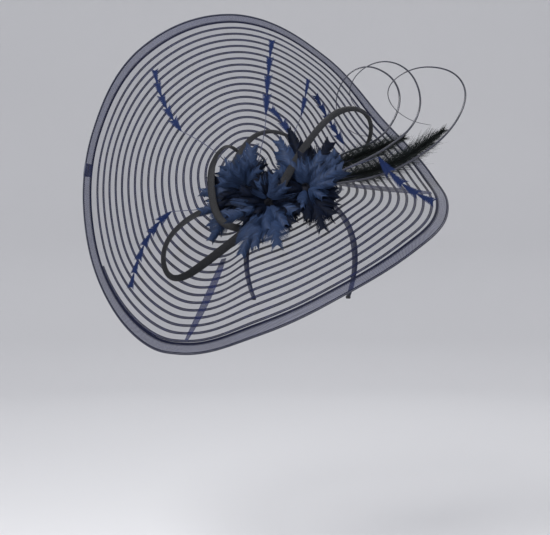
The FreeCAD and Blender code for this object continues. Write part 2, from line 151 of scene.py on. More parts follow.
def brim(angle, radius, lift=0.0):
    """The same points moved off the disc, towards the front, by lift."""
    angle, radius = np.broadcast_arrays(np.asarray(angle, float), np.asarray(radius, float))
    shape = angle.shape
    angle, radius = angle.ravel(), radius.ravel()
    p = brim_points(angle, radius)
    ahead, behind = brim_points(angle + NEARBY, radius), brim_points(angle - NEARBY, radius)
    normal = unit(np.cross(brim_points(angle, radius + 1) - p, ahead - behind))
    return (p + normal * np.broadcast_to(lift, shape).ravel()[:, None]).reshape(shape + (3,))


# ---- meshes -------------------------------------------------------------------------------
def quads(rows, cols, close_rows=False, close_cols=False):
    i = np.arange(rows if close_rows else rows - 1)[:, None]
    j = np.arange(cols if close_cols else cols - 1)[None, :]
    a, b = i * cols + j, i * cols + (j + 1) % cols
    c, d = ((i + 1) % rows) * cols + (j + 1) % cols, ((i + 1) % rows) * cols + j
    return np.stack([a + 0 * d, b + 0 * d, c, d], -1).reshape(-1, 4)


class Sheaf:
    """Collects grids of points and makes one mesh object of them."""

    def __init__(self):
        self.verts, self.faces, self.uvs, self.count = [], [], [], 0

    def grid(self, points, uv=None, close_rows=False, close_cols=False, caps=False):
        rows, cols = points.shape[:2]
        faces = quads(rows, cols, close_rows, close_cols)
        if uv is None:
            uv = np.stack(np.meshgrid(np.arange(rows), np.arange(cols), indexing="ij"), -1)
        uv = uv.reshape(-1, 2).astype(float)
        self.faces += (faces + self.count).tolist()
        self.verts.append(points.reshape(-1, 3))
        self.uvs.append(uv)
        if caps:
            self.faces.append([self.count + j for j in range(cols)][::-1])
            self.faces.append([self.count + (rows - 1) * cols + j for j in range(cols)])
        self.count += rows * cols
        return self

    def make(self, name, material, body, replaces=(), slot=None, in_row=False):
        points = np.concatenate(self.verts)
        points = points / 1000 if in_row else points @ TO_ROW
        data = bpy.data.meshes.new(name)
        data.from_pydata(points.tolist(), [], self.faces)
        uvs = np.concatenate(self.uvs)
        layer = data.uv_layers.new(name="weave")
        index = np.empty(len(data.loops), dtype=np.int32)
        data.loops.foreach_get("vertex_index", index)
        layer.data.foreach_set("uv", uvs[index].astype(np.float32).ravel())
        data.polygons.foreach_set("use_smooth", [True] * len(data.polygons))
        data.materials.append(material)
        piece = bpy.data.objects.new(name, data)
        bpy.context.scene.collection.objects.link(piece)
        if body:
            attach(piece, body)
        if replaces:
            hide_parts(*replaces)
        return piece


def tube(sheaf, path, radius, sides=8, closed=False, ripple=None):
    """A round tube along a path; radius may vary along it."""
    count = len(path)
    if closed:
        tangent = unit(np.roll(path, -1, 0) - np.roll(path, 1, 0))
    else:
        tangent = unit(np.gradient(path, axis=0))
    radius = np.broadcast_to(radius, count)
    side = unit(np.cross(tangent[0], [0.3, 0.2, 0.9]))
    rings = []
    turn = np.linspace(0, 2 * np.pi, sides, endpoint=False)
    for k in range(count):
        side = unit(side - tangent[k] * np.dot(side, tangent[k]))
        other = np.cross(tangent[k], side)
        r = radius[k] * (1 if ripple is None else ripple(k, turn))
        rings.append(path[k] + (np.cos(turn) * r)[:, None] * side
                     + (np.sin(turn) * r)[:, None] * other)
    along = np.arange(count)[:, None] * np.ones(sides)
    around = np.arange(sides)[None, :] * np.ones((count, 1))
    return sheaf.grid(np.array(rings), np.stack([along, around], -1), close_rows=closed,
                      close_cols=True, caps=not closed)


# ---- materials ----------------------------------------------------------------------------
NOISE_DETAIL = 3.0


def nodes_of(name, rough, sheen=0.0, coat=0.0, specular=0.5, metal=0.0):
    material = bpy.data.materials.new(name)
    material.use_nodes = True
    tree = material.node_tree
    shader = tree.nodes["Principled BSDF"]
    shader.inputs["Roughness"].default_value = rough
    shader.inputs["Sheen Weight"].default_value = sheen
    shader.inputs["Coat Weight"].default_value = coat
    shader.inputs["Specular IOR Level"].default_value = specular
    shader.inputs["Metallic"].default_value = metal
    return material, tree, shader


def node(tree, kind, **values):
    made = tree.nodes.new(kind)
    for key, value in values.items():
        if hasattr(made, key):
            setattr(made, key, value)
        else:
            made.inputs[key.replace("_", " ")].default_value = value
    return made


def streaks(tree, scale, source="UV"):
    """Noise stretched by a different scale each way."""
    coords = node(tree, "ShaderNodeTexCoord")
    mapping = node(tree, "ShaderNodeMapping", Scale=scale)
    noise = node(tree, "ShaderNodeTexNoise", Scale=1.0, Detail=NOISE_DETAIL)
    tree.links.new(coords.outputs[source], mapping.inputs["Vector"])
    tree.links.new(mapping.outputs["Vector"], noise.inputs["Vector"])
    return noise.outputs["Fac"]


def ramp(tree, value, low, high, places=(0.3, 0.7)):
    mix = node(tree, "ShaderNodeValToRGB")
    for element, place, color in zip(mix.color_ramp.elements, places, (low, high)):
        element.position = place
        element.color = (*color, 1)
    tree.links.new(value, mix.inputs["Fac"])
    return mix.outputs["Color"]


def bump(tree, shader, height, strength, distance=0.0004):
    made = node(tree, "ShaderNodeBump", Strength=strength, Distance=distance)
    tree.links.new(height, made.inputs["Height"])
    tree.links.new(made.outputs["Normal"], shader.inputs["Normal"])


def fibre(name, low, high, rough, scale, source="UV", sheen=0.0, coat=0.0, strength=0.4,
          places=(0.3, 0.7), specular=0.5, metal=0.0):
    """A streaky two-tone surface with a matching bump."""
    material, tree, shader = nodes_of(name, rough, sheen, coat, specular, metal)
    value = streaks(tree, scale, source)
    tree.links.new(ramp(tree, value, low, high, places), shader.inputs["Base Color"])
    bump(tree, shader, value, strength)
    return material


def netting(name, low, high, rough, cell, cover, sheen=0.2):
    """Diagonal open mesh: threads of the weave are solid and its holes are clear."""
    material, tree, shader = nodes_of(name, rough, sheen, specular=0.15)
    value = streaks(tree, (0.08, 0.5, 1))
    tree.links.new(ramp(tree, value, low, high), shader.inputs["Base Color"])
    split = node(tree, "ShaderNodeSeparateXYZ")
    coords = node(tree, "ShaderNodeTexCoord")
    tree.links.new(coords.outputs["UV"], split.inputs["Vector"])
    waves = []
    for sign in (1, -1):
        lean = node(tree, "ShaderNodeMath", operation="MULTIPLY_ADD")
        lean.inputs[1].default_value = sign
        tree.links.new(split.outputs["Y"], lean.inputs[0])
        tree.links.new(split.outputs["X"], lean.inputs[2])
        turn = node(tree, "ShaderNodeMath", operation="MULTIPLY")
        turn.inputs[1].default_value = 2 * math.pi / cell
        tree.links.new(lean.outputs[0], turn.inputs[0])
        wave = node(tree, "ShaderNodeMath", operation="SINE")
        tree.links.new(turn.outputs[0], wave.inputs[0])
        waves.append(wave.outputs[0])
    top = node(tree, "ShaderNodeMath", operation="MAXIMUM")
    tree.links.new(waves[0], top.inputs[0])
    tree.links.new(waves[1], top.inputs[1])
    reach = node(tree, "ShaderNodeMapRange")
    low_cover, high_cover = cover
    for key, number in (("From Min", 0.2), ("From Max", 1.0), ("To Min", low_cover),
                        ("To Max", high_cover)):
        reach.inputs[key].default_value = number
    tree.links.new(top.outputs[0], reach.inputs["Value"])
    tree.links.new(reach.outputs["Result"], shader.inputs["Alpha"])
    bump(tree, shader, top.outputs[0], 0.3, 0.0003)
    return material


NET = netting("crinoline_net", (0.006, 0.008, 0.026), (0.02, 0.025, 0.06), 0.6, 1.6, (0.11, 0.36),
              sheen=0.0)
OVERLAP = netting("crinoline_overlap", (0.001, 0.0018, 0.012), (0.007, 0.011, 0.05), 0.6, 1.6,
                  (0.72, 1.0), sheen=0.0)
TUCK = netting("crinoline_tuck", (0.003, 0.005, 0.026), (0.012, 0.018, 0.075), 0.6, 1.6,
               (0.66, 0.97), sheen=0.0)
BAND = netting("edge_braid", (0.006, 0.008, 0.03), (0.028, 0.034, 0.078), 0.5, 1.9, (0.5, 0.95),
               sheen=0.0)
THREAD = fibre("edge_thread", (0.0008, 0.0012, 0.006), (0.005, 0.007, 0.026), 0.65, (0.4, 1, 1),
               specular=0.12)
WIRE = fibre("covered_wire", (0.004, 0.005, 0.014), (0.02, 0.024, 0.05), 0.55, (0.5, 2, 1))
CRIMP = fibre("crimped_metal", (0.05, 0.055, 0.08), (0.12, 0.13, 0.17), 0.35, (300, 300, 300),
              "Object", metal=0.9)
STEEL = fibre("spring_steel", (0.25, 0.25, 0.27), (0.42, 0.42, 0.45), 0.3, (40, 40, 900),
              "Object", metal=1.0)
SATIN = fibre("satin_ribbon", (0.004, 0.006, 0.02), (0.012, 0.018, 0.055), 0.3, (0.15, 3, 1),
              sheen=0.05, coat=0.1)
TIP = fibre("soft_tip", (0.008, 0.009, 0.014), (0.02, 0.022, 0.03), 0.6, (900, 900, 900),
            "Object")
FELT = fibre("felt", (0.008, 0.01, 0.026), (0.02, 0.026, 0.06), 0.95, (700, 700, 700), "Object",
             sheen=0.5, strength=0.8)
COVER = fibre("sinamay_cover", (0.006, 0.008, 0.02), (0.022, 0.028, 0.06), 0.6,
              (1400, 500, 1400), "Object", strength=0.8)
BOUND = fibre("bound_thread", (0.003, 0.004, 0.01), (0.014, 0.017, 0.04), 0.6, (0.6, 0.3, 1))
PETAL = fibre("petal_feather", (0.002, 0.005, 0.015), (0.022, 0.042, 0.1), 0.6, (0.9, 0.06, 1),
              places=(0.36, 0.66), specular=0.15)
# Darker copy of the petal feather: painted shade, near-black petals standing for petals that sit
# in shadow.
PETAL_PAINTED_SHADE = fibre("petal_feather_painted_shade", (0.0004, 0.0007, 0.002), (0.005, 0.009, 0.024), 0.6,
                   (0.9, 0.06, 1), places=(0.4, 0.72), specular=0.06)
ARROW = fibre("arrow_vane", (0.003, 0.007, 0.03), (0.01, 0.021, 0.075), 0.6, (0.6, 0.05, 1),
              specular=0.06)
STEM = fibre("feather_quill", (0.008, 0.01, 0.028), (0.03, 0.04, 0.1), 0.4, (0.2, 1, 1),
             coat=0.2)
SINAMAY = fibre("sinamay_loop", (0.0008, 0.0009, 0.0014), (0.03, 0.031, 0.038), 0.5,
                (0.9, 2.2, 1), strength=1.0, places=(0.46, 0.72), specular=0.2)
PLUME = fibre("plume_barbs", (0.003, 0.004, 0.005), (0.04, 0.048, 0.046), 0.65, (0.5, 0.4, 1),
              places=(0.35, 0.8), specular=0.1)
QUILL = fibre("curled_quill", (0.002, 0.003, 0.009), (0.012, 0.015, 0.034), 0.35, (0.1, 1, 1),
              coat=0.2)

# ---- crinoline brim -----------------------------------------------------------------------
ROUND = 360
turns = np.arange(ROUND) * 360.0 / ROUND
WEAVE_SHARE = 0.75          # share of the radius at which the weave is true to size
SPIRAL_STEP, SPIRAL_COLUMNS, SPIRAL_END_GAP = 1.25, 3, 4
THREAD_WIDTH, THREAD_INSET, THREAD_CROWN = 0.85, 0.8, 0.2
WIRE_GAP = 0.1
WIRE_LINE = BRIM_RADIUS + WIRE_RADIUS + WIRE_GAP


def weave_uv(angle, radius):
    return np.stack([np.radians(angle) * BRIM_RADIUS * WEAVE_SHARE, radius], -1)


def ring(sheaf, inner, outer, cols, lift, angles=turns, closed=True, sag=0.0):
    """A strip that follows the disc between two radii."""
    r = np.linspace(inner, outer, cols)
    a, rr = np.meshgrid(angles, r, indexing="ij")
    shape = lift + sag * np.sin(np.pi * (rr - inner) / (outer - inner))
    return sheaf.grid(brim(a, rr, shape), weave_uv(a, rr), close_rows=closed)


def spiral(sheaf, near, far, low, high):
    """A strip that winds in from the edge band, between near and far inside each turn's edge."""
    turns_in = (INNER - HUB_RADIUS - SPIRAL_END_GAP) / BRAID_PITCH
    a = SPIRAL_START + np.arange(0, turns_in * 360, SPIRAL_STEP)
    edge = INNER - (a - SPIRAL_START) / 360 * BRAID_PITCH
    f = np.linspace(0, 1, SPIRAL_COLUMNS)[None, :]
    r = np.maximum(edge[:, None] - near - (far - near) * f, HUB_RADIUS)
    lift = low + (high - low) * np.sin(np.pi * f) + 0 * r
    aa = a[:, None] + 0 * r
    return sheaf.grid(brim(aa, r, lift), weave_uv(aa, r))


net = ring(Sheaf(), HUB_RADIUS, INNER + 1, 72, 0.0).make(
    "brim_net", NET, "headpiece", ["brim_braid"], "crinoline")
overlap = spiral(Sheaf(), 0, BRAID_OVERLAP, 0.25, 0.45).make(
    "brim_braid_overlap", OVERLAP, "headpiece", slot="crinoline")
threads = Sheaf()
for near, lift in ((0.0, 0.5), (BRAID_OVERLAP - THREAD_INSET, 0.45)):
    spiral(threads, near, near + THREAD_WIDTH, lift, lift + THREAD_CROWN)
threads = threads.make("brim_braid_threads", THREAD, "headpiece", slot="crinoline")
ring(Sheaf(), INNER + 0.2, BRIM_RADIUS, 9, 0.15, sag=0.3).make(
    "edge_braid_band", BAND, "headpiece", ["edge_band"], "edge_braid")
hems = Sheaf()
ring(hems, INNER - 0.8, INNER + 2.4, 4, 0.5, sag=0.25)
ring(hems, INNER + 2.9, INNER + 3.4, 3, 0.45, sag=0.15)
ring(hems, BRIM_RADIUS - 1.1, BRIM_RADIUS + 0.1, 3, 0.4, sag=0.2)
hems.make("edge_braid_hems", THREAD, "headpiece", slot="edge_braid")

tube(Sheaf(), brim(turns, WIRE_LINE), WIRE_RADIUS, 8, closed=True).make(
    "edge_wire_cover", WIRE, "headpiece", ["edge_wire"], "covered_wire")


def tuck(name, angle, start, end, half_width):
    """A pinched pleat along a crease, where the net lies double."""
    rows = 70
    r = np.linspace(start, end, rows)[:, None]
    x = np.linspace(-1, 1, 9)[None, :]
    width = half_width * np.sin(np.pi * np.linspace(0.12, 0.94, rows))[:, None] ** 0.5
    a = angle + np.degrees(x * width / r)
    rr = r + 0 * x
    Sheaf().grid(brim(a, rr, 0.9 - 0.25 * x ** 2 + 0 * r), weave_uv(a, rr)).make(
        name, TUCK, "headpiece", slot="crinoline")


tuck("brim_tuck_right", 348, 95, 224, 10.0)
tuck("brim_tuck_left", 240, 118, 223, 6.5)
near_join = JOIN_ANGLE + np.linspace(-1.9, 1.9, 9)
tab = ring(Sheaf(), INNER - 0.5, BRIM_RADIUS - 0.4, 7, 0.7, near_join, False, 0.25)
tab.make("edge_braid_join", OVERLAP, "headpiece", ["band_join_tab"], "edge_braid")
sleeve = brim(JOIN_ANGLE + np.linspace(-2.1, 2.1, 15), WIRE_LINE)
swell = WIRE_RADIUS + 0.35 * np.sin(np.linspace(0.25, np.pi - 0.25, 15))
tube(Sheaf(), sleeve, swell, 10).make(
    "wire_join_sleeve", CRIMP, "headpiece", ["wire_ferrule"], "crimped_metal")


def knob(name, foot, axis, radius, length, material, body, replaces, slot, wraps=7, folds=0):
    """A domed, thread-wound stub."""
    t = np.linspace(0, 1, 40)
    path = np.array(foot) + np.outer(t * length, unit(np.array(axis, float)))
    dome = radius * np.sqrt(np.clip(1 - np.abs(2 * t - 1) ** 5, 0.01, 1))

    def ripple(k, turn):
        wound = 0.05 * np.sin(2 * np.pi * wraps * t[k] + turn)
        return 1 + wound + (0.09 * np.sin(folds * turn) if folds else 0)

    return tube(Sheaf(), path, dome, 32, ripple=ripple).make(name, material, body, replaces, slot)


HUB_LEAN, HUB_HEADING = math.radians(45), math.radians(70)
HUB_NORMAL = np.array([math.cos(HUB_LEAN) * math.cos(HUB_HEADING),
                       math.cos(HUB_LEAN) * math.sin(HUB_HEADING), math.sin(HUB_LEAN)])
knob("braid_start_gather", BRIM_CENTRE - HUB_NORMAL * 6.2, HUB_NORMAL, 10.4, 12.4, THREAD,
     "headpiece", ["braid_start_knot"], "thread", wraps=3, folds=11)
for side, place, length in (("left", (-66, 131, 54), 9.0), ("right", (5, 133, 68), 17.0)):
    knob("stem_binding_" + side, place, FACING, 6.6, length, BOUND, "headpiece",
         ["stem_collar_" + side], "thread", wraps=9)

# ---- headband -----------------------------------------------------------------------------
HEAD_HALF_WIDTH, CROWN_HEIGHT, TIP_HALF_GAP = 76.0, 53.0, 66.0
ARM_START, HALF_DEPTH, JOINT_GAP = math.radians(14), 1.5, 0.9
TIP_HALF_WIDTH, CROWN_HALF_WIDTH, TAPER_HEIGHT = 3.5, 6.0, 63
CROWN_STEPS, ARM_STEPS = 70, 60
SATIN_PITCH, SATIN_STEP, SATIN_SLANT = 7.5, 0.2, 0.45
SQUARED = 0.6               # below 1 the band's section is squarer than an oval
ACROSS = np.array([0.0, 1.0, 0.0])


def arc_through(a, b, c, count):
    """Points on the circle through three points in the XZ plane."""
    m = np.array([b - a, c - a]) * 2
    rhs = np.array([b @ b - a @ a, c @ c - a @ a])
    centre = np.linalg.solve(m, rhs)
    start, end = [math.atan2(*(p - centre)[::-1]) for p in (a, c)]
    end += 2 * math.pi * round((start - end) / (2 * math.pi))
    angles = np.linspace(start, end, count)
    r = np.linalg.norm(a - centre)
    return centre + r * np.stack([np.cos(angles), np.sin(angles)], 1)


def headband_path(side):
    r = HEAD_HALF_WIDTH + HALF_DEPTH
    angles = np.linspace(math.pi / 2, ARM_START, CROWN_STEPS)
    crown = np.stack([side * r * np.cos(angles), CROWN_HEIGHT + r * np.sin(angles)], 1)
    top = crown[-1] + JOINT_GAP * np.array([side * math.sin(ARM_START), -math.cos(ARM_START)])
    bow = np.array([side * (r - 0.4), CROWN_HEIGHT - 14.0])
    tip = np.array([side * (TIP_HALF_GAP + HALF_DEPTH), 3.2])
    arm = arc_through(top, bow, tip, ARM_STEPS)
    flat = np.concatenate([crown, arm])
    return np.stack([flat[:, 0], 0 * flat[:, 0], flat[:, 1]], 1)


for side, name in ((-1, "right"), (1, "left")):
    path = headband_path(side)
    tangent = unit(np.gradient(path, axis=0))
    out = unit(np.cross(ACROSS, tangent)) * -side
    run = np.concatenate([[0], np.cumsum(np.linalg.norm(np.diff(path, axis=0), axis=1))])
    half = np.interp(path[:, 2], [0, TAPER_HEIGHT], [TIP_HALF_WIDTH, CROWN_HALF_WIDTH])
    turn = np.linspace(0, 2 * np.pi, 28, endpoint=False)
    y = np.sign(np.cos(turn)) * np.abs(np.cos(turn)) ** SQUARED
    z = np.sign(np.sin(turn)) * np.abs(np.sin(turn)) ** SQUARED
    wound = ((run[:, None] + SATIN_SLANT * half[:, None] * y[None, :]) / SATIN_PITCH) % 1.0
    depth = HALF_DEPTH - 0.02 + SATIN_STEP * wound
    points = (path[:, None] + (y[None, :] * half[:, None])[..., None] * ACROSS
              + (z[None, :] * depth)[..., None] * out[:, None])
    uv = np.stack([run[:, None] + 0 * wound, y[None, :] * half[:, None]], -1)
    sheaf = Sheaf().grid(points, uv, close_cols=True, caps=True)
    wrap = sheaf.make("headband_satin_" + name, SATIN, None, slot="satin_ribbon", in_row=True)
    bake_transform(wrap)
    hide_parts("headband_arm_satin_" + name, "headband_crown_satin")

for name, material in (("headband_crown_core", STEEL), ("headband_arm_core_right", STEEL),
                       ("headband_arm_core_left", STEEL), ("headband_tip_right", TIP),
                       ("headband_tip_left", TIP)):
    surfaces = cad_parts[name].data.materials
    surfaces.clear()
    surfaces.append(material)

# ---- base and stand -----------------------------------------------------------------------
BASE_ANGLE = math.radians(124)
base_out = np.array([math.cos(BASE_ANGLE), 0, math.sin(BASE_ANGLE)])
base_along = np.array([math.sin(BASE_ANGLE), 0, -math.cos(BASE_ANGLE)])
base_seat = np.array([0, 0, CROWN_HEIGHT]) + base_out * (HEAD_HALF_WIDTH + 3)


def oval_pad(name, foot, half_length, half_width, thickness, material, node_name, slot):
    turn = np.linspace(0, 2 * np.pi, 72, endpoint=False)
    rows = []
    for r, h in ((0.02, 0), (0.5, 0), (0.9, 0), (0.985, 0.12), (1, 0.5), (0.985, 0.88),
                 (0.9, 1), (0.5, 1), (0.02, 1)):
        stitch = 1 + (0.006 * np.cos(36 * turn) if r > 0.98 else 0 * turn)
        rows.append(foot + base_out * (h * thickness)
                    + (r * stitch * half_length * np.cos(turn))[:, None] * base_along
                    + (r * stitch * half_width * np.sin(turn))[:, None] * ACROSS)
    return Sheaf().grid(np.array(rows), close_cols=True, caps=True).make(
        name, material, "headpiece", [node_name], slot, in_row=True)


oval_pad("base_felt", base_seat + base_out * 0.2, 34, 25, 2.0, FELT, "base_lining", "felt")
oval_pad("base_cover", base_seat + base_out * 2.4, 35, 26, 2.5, COVER, "base_disc",
         "sinamay_cover")
foot = base_seat + base_out * 5.1
head = (BRIM_CENTRE - HUB_NORMAL * 8.5) @ TO_ROW * 1000
head_normal = HUB_NORMAL @ TO_ROW * 1000
head_along = unit(np.cross(head_normal, ACROSS))
turn = np.linspace(0, 2 * np.pi, 60, endpoint=False)
PLEATS, PLEAT_DEPTH = 12, 0.05
rows = []
for t in np.linspace(0, 1, 16):
    pleat = 1 + PLEAT_DEPTH * np.sin(PLEATS * turn) * math.sin(math.pi * t)
    low = (foot + (15 * pleat * np.cos(turn))[:, None] * base_along
           + (12 * pleat * np.sin(turn))[:, None] * ACROSS)
    high = (head + (8 * pleat * np.cos(turn))[:, None] * -head_along
            + (8 * pleat * np.sin(turn))[:, None] * ACROSS)
    rows.append(low * (1 - t) + high * t)
Sheaf().grid(np.array(rows), close_cols=True, caps=True).make(
    "brim_stand_cover", COVER, "headpiece", ["brim_stand"], "sinamay_cover", in_row=True)


# ---- feathers -----------------------------------------------------------------------------
BARB_STEPS = 6


def feather(sheaf, rng, route, outline, width, spacing=1.1, sweep=0.9, ragged=0.1, cup=0.06,
            roll=0.0, fluff=0.0, barb=0.62, start=0.03, rachis=0.4, by_root=False, gaps=0.0,
            clump=0, point=0.82):
    """Barbs side by side along a rachis.  outline gives the width share along the feather."""
    fine, length = curve(route, 120)
    tangent, side, normal = rolled(fine, roll)
    count = max(int(length * (1 - start) / spacing), 4)
    s = np.linspace(start, 1, count)
    index = s * (len(fine) - 1)

    def pick(table, where):
        where = np.clip(where, 0, len(fine) - 1)
        k = np.minimum(where.astype(int), len(fine) - 2)
        f = (where - k)[..., None]
        return table[k] * (1 - f) + table[k + 1] * f

    t = np.linspace(0, 1, BARB_STEPS)
    for way in (-1, 1):
        jitter = rng.normal(0, 1, (count, 4))
        if clump:
            group = np.cumsum(rng.random(count) < 1 / clump)
            jitter[:, 1:] = rng.normal(0, 1, (count + 1, 3))[group] + 0.15 * jitter[:, 1:]
        lag = sweep * width / 2 / length
        at_tip = s if by_root else np.minimum(s + lag * outline(s), 1)
        reach = width / 2 * outline(at_tip) * (1 + ragged * jitter[:, 0])
        if gaps:
            reach = reach * np.where(rng.random(count) < gaps, 0.72, 1.0)
        shift = sweep * reach * (1 + 0.08 * jitter[:, 1])
        near = pick(fine, index)[:, None]
        tan, sid, nor = [pick(v, index)[:, None] for v in (tangent, side, normal)]
        out = (reach[:, None] * t ** 0.92)[..., None]
        ahead = (shift[:, None] * t ** 1.35)[..., None]
        lift = (-cup * reach[:, None] * t ** 2 * 2
                + fluff * jitter[:, 2:3] * t ** 1.2 * reach[:, None]
                + (0.32 if clump else 0.18) * jitter[:, 3:4] * t)[..., None]
        middle = near + way * sid * out + tan * ahead + nor * (lift + 0.12)
        half = spacing * barb * (1 - point * t ** 3)[None, :, None]
        strip = np.stack([middle - tan * half, middle + tan * half], 2)
        for k in range(count):
            uv = np.stack([np.full((BARB_STEPS, 2), 2.0 * k + 7 * way) + np.array([[0, 1]]),
                           np.stack([t * reach[k]] * 2, 1)], -1)
            sheaf.grid(strip[k], uv)
    if rachis:
        taper = np.linspace(rachis, rachis * 0.25, 40)
        tube(sheaf, curve(route, 40)[0] + 0.1 * FACING, taper, 5)
    return sheaf


def petal_outline(s):
    return np.interp(s, (0, 0.1, 0.3, 0.55, 0.78, 0.92, 1),
                     (0.26, 0.58, 0.92, 1, 0.94, 0.76, 0.4))


LEFT, CENTRE, RIGHT = (-66, 129, 72), (-41, 113, 104), (2, 131, 94)
# direction, reach, width, forward offset at the root and the tip, roll, painted shade (1 puts the
# petal in the darker painted-shade copy)
FLOWERS = {
    "flower_left_back": (LEFT, ["flower_left_back_petals"], [
        (150, 44, 20, -5, -9, 8, 0), (181, 59, 17, -5, -6, -14, 0), (206, 66, 18, -5, -4, 12, 0),
        (222, 68, 15, -4, 0, -10, 0), (233, 80, 15, -4, 2, 14, 0), (166, 50, 16, -7, -10, 0, 1),
        (194, 52, 16, -7, -9, 10, 1), (138, 36, 16, -7, -12, -8, 1), (112, 40, 16, -6, -14, 0, 1),
        (214, 46, 18, -2, 4, 16, 1), (244, 42, 18, -2, 8, -8, 1)]),
    "flower_left_front": (LEFT, ["flower_left_front_petals"], [
        (80, 56, 24, 3, 5, -6, 0), (100, 50, 20, 2, 2, 10, 0), (128, 42, 22, 3, 8, 14, 0),
        (166, 35, 20, 4, 15, 10, 0), (58, 40, 15, 6, 15, -18, 1), (196, 30, 16, 6, 19, 4, 1),
        (144, 34, 18, 7, 17, -12, 0), (92, 34, 20, 8, 20, -10, 0), (226, 30, 14, 7, 21, 0, 1),
        (70, 30, 15, 10, 24, 14, 0), (114, 28, 16, 10, 25, -8, 0)]),
    "flower_centre_back": (CENTRE, ["flower_centre_back_petals"], [
        (205, 53, 25, -2, 8, 12, 0), (240, 74, 18, 4, 26, -8, 0), (252, 58, 16, 2, 38, 10, 0),
        (288, 57, 21, 2, 53, 4, 0), (266, 38, 18, -2, 30, -8, 1), (224, 40, 18, -4, 14, 8, 1),
        (308, 40, 18, -2, 30, 8, 1), (184, 36, 18, -5, 4, -14, 1), (330, 34, 20, -3, 16, 0, 1)]),
    "flower_centre_front": (CENTRE, ["flower_centre_front_petals"], [
        (341, 33, 25, 8, 22, -8, 0), (150, 34, 17, 6, 20, 10, 1), (104, 34, 16, 6, 12, -8, 1),
        (206, 30, 16, 8, 20, 16, 0), (60, 28, 12, 6, 14, 20, 1), (128, 26, 12, 9, 22, -10, 1),
        (178, 24, 12, 9, 22, 0, 1), (82, 38, 10, 4, 8, 30, 1), (76, 33, 19, 20, 34, 12, 0),
        (44, 28, 17, 19, 31, -10, 0), (96, 20, 14, 14, 30, 0, 1),
        (312, 36, 20, 9, 30, 8, 0), (264, 34, 18, 9, 34, -8, 0),
        (118, 27, 15, 16, 28, -6, 0), (8, 22, 13, 13, 24, 8, 1), (222, 20, 12, 13, 24, -8, 1)]),
    "flower_right_back": (RIGHT, ["flower_right_back_petals"], [
        (61, 69, 21, -3, -22, 8, 1), (45, 62, 16, -6, -18, -12, 0), (86, 60, 15, -6, -22, 6, 1),
        (97, 82, 9, -6, -26, 14, 1), (116, 72, 19, -3, -22, -10, 0), (128, 60, 16, -7, -22, 8, 0),
        (74, 52, 16, -8, -20, -6, 1), (104, 54, 18, -8, -20, 0, 1), (30, 52, 16, -8, -12, 8, 1),
        (36, 60, 10, -5, -14, -18, 0)]),
    "flower_right_front": (RIGHT, ["flower_right_front_petals"], [
        (20, 51, 27, 4, 11, -6, 0), (334, 40, 22, 2, 15, 6, 1), (303, 50, 22, 3, 36, -8, 1),
        (291, 58, 20, 4, 44, 6, 1), (274, 42, 17, 7, 40, 12, 1), (261, 27, 9, 12, 36, 20, 0),
        (350, 38, 20, 0, 10, 10, 1), (318, 44, 20, 0, 26, 0, 1), (44, 32, 14, 8, 12, -14, 0),
        (8, 34, 16, 8, 17, 10, 0), (250, 36, 13, 6, 34, -12, 1), (182, 34, 22, 2, 10, 8, 1),
        (154, 40, 20, 0, 6, -10, 0), (214, 38, 22, 3, 24, 6, 1), (232, 42, 20, 3, 32, -6, 1),
        (66, 46, 20, 6, 6, 12, 0), (94, 44, 20, 4, 0, -8, 1), (122, 42, 18, 6, 4, 10, 0),
        (26, 42, 18, 9, 16, 8, 0), (200, 24, 15, 12, 24, 8, 1), (92, 26, 15, 12, 20, -8, 0),
        (326, 24, 15, 12, 24, 6, 0)]),
}
HEART_GAP, REACH_SHARE, WIDTH_SHARE, PETAL_ARCH = 4.0, 0.88, 1.5, 4.5
SHADED_FILL_PETAL = (38, 19, -14, -12, 0, 1)       # a ring of fill petals behind each flower, given the darker petal copy as painted shade
for seed, (name, (heart, replaced, petals)) in enumerate(FLOWERS.items()):
    rng = np.random.default_rng(40 + seed)
    bright, painted_shade_petals = Sheaf(), Sheaf()
    # Back layers also get the ring of fill petals in painted shade.
    if name.endswith("_back"):
        petals = petals + [(step + rng.uniform(-8, 8), *SHADED_FILL_PETAL) for step in range(0, 360, 30)]
    for direction, reach, width, root, tip, roll, is_painted_shade in petals:
        a = math.radians(direction)
        route = []
        for t in (0, 0.3, 0.65, 1.0):
            r = HEART_GAP + (REACH_SHARE * reach - HEART_GAP) * t
            bend = math.radians(rng.normal(0, 5)) * t
            route.append((heart[0] + r * math.cos(a + bend), heart[1] + r * math.sin(a + bend),
                          heart[2] + root + (tip - root) * t + PETAL_ARCH * math.sin(math.pi * t)))
        # Petals flagged for painted shade go into the darker copy; the others keep the lit petal
        # colour.
        feather(painted_shade_petals if is_painted_shade else bright, rng, route, petal_outline, WIDTH_SHARE * width,
                roll=roll, sweep=1.2, ragged=0.06, gaps=0.03, cup=0.24, spacing=0.8, clump=10,
                point=0.45, barb=0.8, rachis=0.22)
    bright.make(name, PETAL, "headpiece", replaced, "petal_feather")
    painted_shade_petals.make(name + "_painted_shade", PETAL_PAINTED_SHADE, "headpiece", (), "petal_feather")
for name, heart in (("left", LEFT), ("centre", CENTRE), ("right", RIGHT)):
    foot = np.array(heart, float) - FACING * 8
    knob("heart_binding_" + name, foot, FACING, 4.9, 9.5, BOUND, "headpiece",
         ["flower_" + name + "_heart"], "flower_heart", wraps=8, folds=7)

